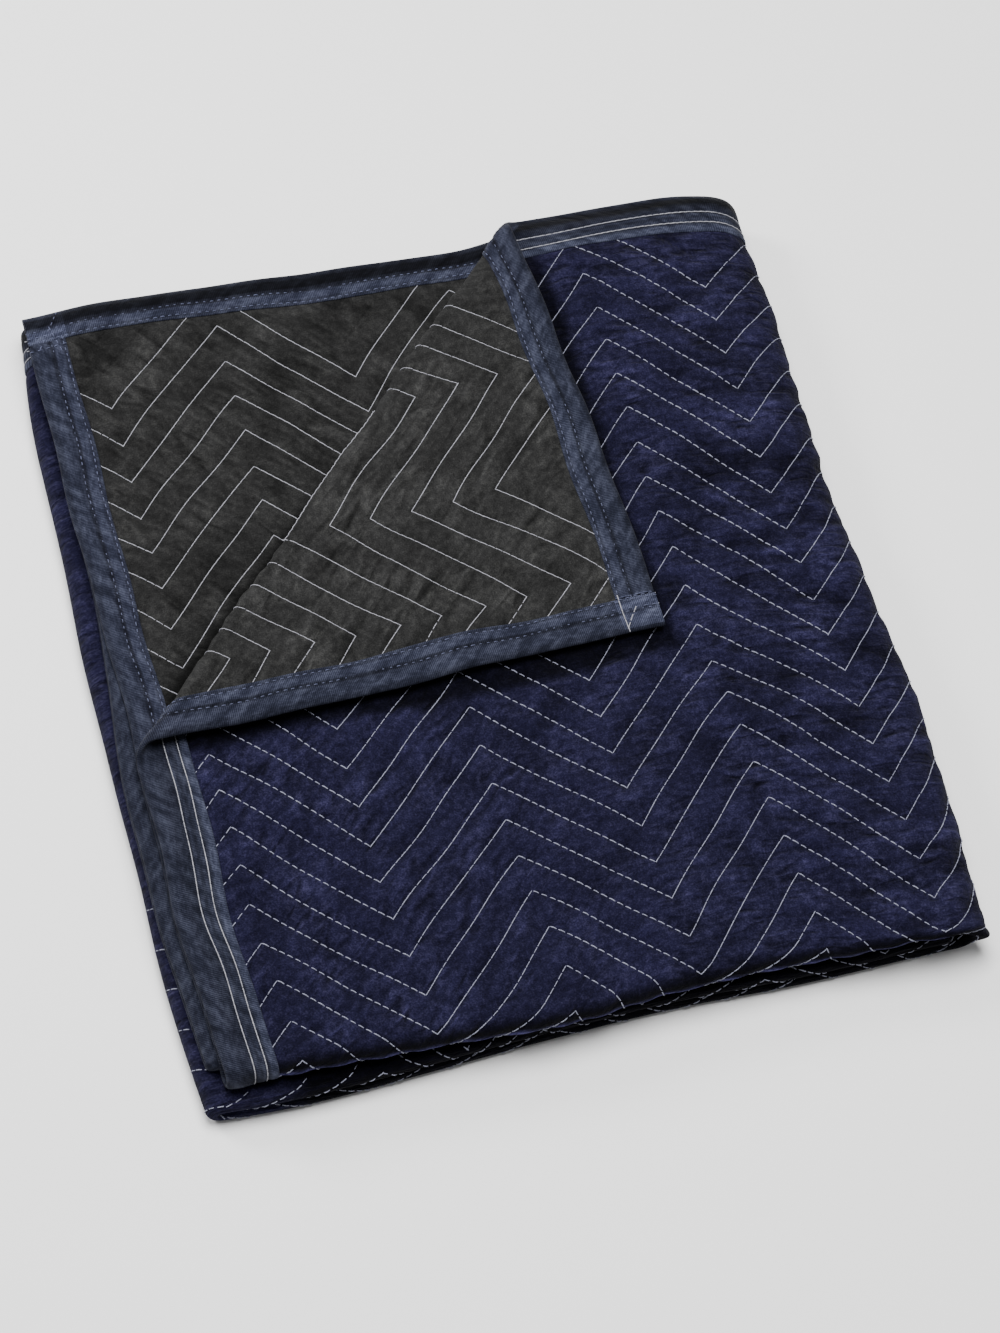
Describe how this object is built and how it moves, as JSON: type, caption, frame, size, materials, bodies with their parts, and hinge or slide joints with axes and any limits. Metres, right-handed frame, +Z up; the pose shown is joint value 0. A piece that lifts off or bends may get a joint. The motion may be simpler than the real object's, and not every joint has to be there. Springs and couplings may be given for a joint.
{
  "type": "moving blanket",
  "caption": "Quilted moving blanket with bound edges, folded into a flat packet with one corner turned back.",
  "frame": {"origin": "middle of the folded packet's outline, on the surface it rests on", "axes": "+Z up; +X towards the thick outer roll, away from the loose short edges; +Y towards the long bound edges, away from the front fold"},
  "size_m": [0.4816, 0.5432, 0.0486],
  "materials": {
    "face_cloth": "matte navy cloth with a short brushed nap, zigzag quilted",
    "back_cloth": "matte black cloth, zigzag quilted",
    "binding": "matte grey-blue woven tape"
  },
  "bodies": {
    "root": {"face_cloth": "face_cloth", "back_cloth": "back_cloth", "binding_start_edge": "binding", "binding_end_edge": "binding", "binding_upper_edge": "binding", "binding_lower_edge": "binding"}
  },
  "joints": []
}
